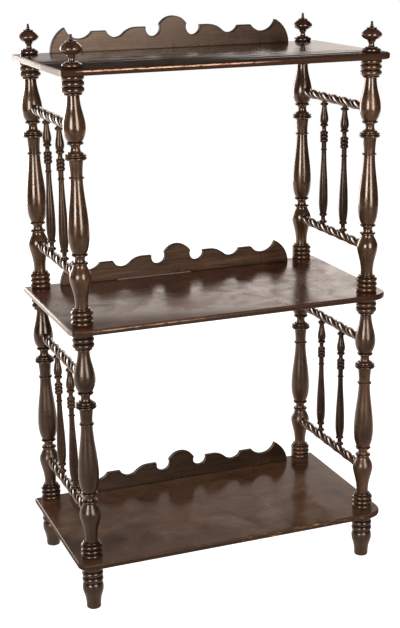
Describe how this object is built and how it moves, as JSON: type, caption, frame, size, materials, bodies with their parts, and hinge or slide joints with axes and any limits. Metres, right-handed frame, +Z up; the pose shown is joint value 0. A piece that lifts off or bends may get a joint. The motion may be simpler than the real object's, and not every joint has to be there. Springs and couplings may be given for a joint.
{
  "type": "etagere",
  "caption": "Free-standing three-tier etagere in dark stained wood: turned posts, rope-twist side rails with spindles, scalloped galleries, ball finials and tapered feet.",
  "frame": {"origin": "middle of the bounding box in plan, on the floor under the feet", "axes": "+Z up, +X to the right seen from the front, -Y towards the front; the galleries are at the back, +Y"},
  "size_m": [0.7206, 0.3988, 1.2182],
  "materials": {
    "turned_wood": "dark brown stain under a glossy French polish",
    "rope_wood": "dark brown stain under a glossy polish, darker in the grooves",
    "spindle_wood": "dark brown stain under a glossy polish",
    "shelf_wood": "mottled dark brown stain, glossy polish, worn at the edges",
    "gallery_wood": "dark brown stain, semi-gloss polish",
    "dowel_wood": "plain unfinished hardwood"
  },
  "bodies": {
    "root": {"finial_back_left": "turned_wood", "finial_back_right": "turned_wood", "finial_front_left": "turned_wood", "finial_front_right": "turned_wood", "foot_back_left": "turned_wood", "foot_back_right": "turned_wood", "foot_front_left": "turned_wood", "foot_front_right": "turned_wood", "gallery_bottom": "gallery_wood", "gallery_dowels_bottom": "dowel_wood", "gallery_dowels_middle": "dowel_wood", "gallery_dowels_top": "dowel_wood", "gallery_middle": "gallery_wood", "gallery_top": "gallery_wood", "post_lower_back_left": "turned_wood", "post_lower_back_right": "turned_wood", "post_lower_front_left": "turned_wood", "post_lower_front_right": "turned_wood", "post_upper_back_left": "turned_wood", "post_upper_back_right": "turned_wood", "post_upper_front_left": "turned_wood", "post_upper_front_right": "turned_wood", "rail_high_lower_left": "rope_wood", "rail_high_lower_right": "rope_wood", "rail_high_upper_left": "rope_wood", "rail_high_upper_right": "rope_wood", "rail_low_lower_left": "rope_wood", "rail_low_lower_right": "rope_wood", "rail_low_upper_left": "rope_wood", "rail_low_upper_right": "rope_wood", "shelf_bottom": "shelf_wood", "shelf_middle": "shelf_wood", "shelf_top": "shelf_wood", "spindle_back_lower_left": "spindle_wood", "spindle_back_lower_right": "spindle_wood", "spindle_back_upper_left": "spindle_wood", "spindle_back_upper_right": "spindle_wood", "spindle_front_lower_left": "spindle_wood", "spindle_front_lower_right": "spindle_wood", "spindle_front_upper_left": "spindle_wood", "spindle_front_upper_right": "spindle_wood"}
  },
  "joints": []
}
